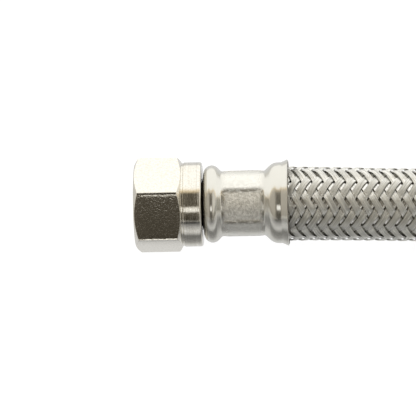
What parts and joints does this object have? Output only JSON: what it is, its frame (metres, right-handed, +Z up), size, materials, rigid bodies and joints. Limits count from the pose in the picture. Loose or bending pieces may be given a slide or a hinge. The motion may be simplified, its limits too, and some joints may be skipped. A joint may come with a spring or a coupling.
{
  "type": "dishwasher hose",
  "caption": "Water supply hose in braided steel for a dishwasher, with a crimped ferrule and a swivel nut at each end, lying in a tied coil.",
  "frame": {"origin": "on the surface that the hose lies on, under the middle of the near fitting", "axes": "+X from the near nut's mouth towards the hose, +Z up"},
  "size_m": [0.2439, 0.1867, 0.0499],
  "materials": {
    "nickel_plate": "bright nickel plate with fine turning lines",
    "ferrule_steel": "drawn stainless steel, pressed grey marks from the crimping jaws",
    "brass": "turned",
    "black_rubber": "matt",
    "steel_braid": "woven flat groups of bright drawn wire",
    "white_nylon": "moulded"
  },
  "bodies": {
    "hose": {"near_insert": "brass", "near_cone_washer": "black_rubber", "near_ferrule": "ferrule_steel", "near_liner_end": "black_rubber", "near_braid_end": "steel_braid", "far_insert": "brass", "far_cone_washer": "black_rubber", "far_ferrule": "ferrule_steel", "far_liner_end": "black_rubber", "far_braid_end": "steel_braid", "hose_lead": "steel_braid", "hose_coil": "steel_braid", "hose_tail": "steel_braid", "coil_tie_first": "white_nylon", "coil_tie_second": "white_nylon", "coil_tie_third": "white_nylon"},
    "near_swivel_nut": {"near_nut": "nickel_plate"},
    "far_swivel_nut": {"far_nut": "nickel_plate"}
  },
  "joints": [
    {"name": "near_nut_swivel", "type": "hinge", "parent": "hose", "child": "near_swivel_nut", "pos_m": [-0.0154, 0, 0.00865], "axis": [1, 0, 0], "continuous": true},
    {"name": "far_nut_swivel", "type": "hinge", "parent": "hose", "child": "far_swivel_nut", "pos_m": [0.08646, -0.16821, 0.04007], "axis": [1, 0, 0], "continuous": true}
  ]
}
